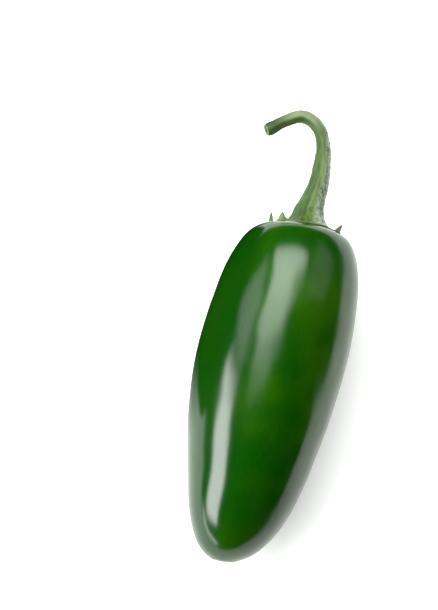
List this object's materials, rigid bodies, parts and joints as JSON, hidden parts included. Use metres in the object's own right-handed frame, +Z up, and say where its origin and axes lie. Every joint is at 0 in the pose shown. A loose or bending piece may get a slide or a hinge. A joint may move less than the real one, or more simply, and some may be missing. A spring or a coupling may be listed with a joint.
{
  "type": "chilli pepper",
  "caption": "Picked green chilli pepper lying on its side: a glossy tapered pod with its calyx cap and a hooked stalk.",
  "frame": {"origin": "centre of the box under the chilli, on the surface it lies on", "axes": "+Y along the pod from its tip towards the stalk, +Z up, -X the side that the stalk hooks to"},
  "size_m": [0.0318, 0.0974, 0.031],
  "materials": {
    "pod_skin": "smooth waxy skin, dark green",
    "calyx_green": "dull leafy green, slightly rough",
    "stem_green": "ribbed green stalk with a pale bloom"
  },
  "bodies": {
    "root": {"pod": "pod_skin", "calyx": "calyx_green", "stem": "stem_green"}
  },
  "joints": []
}
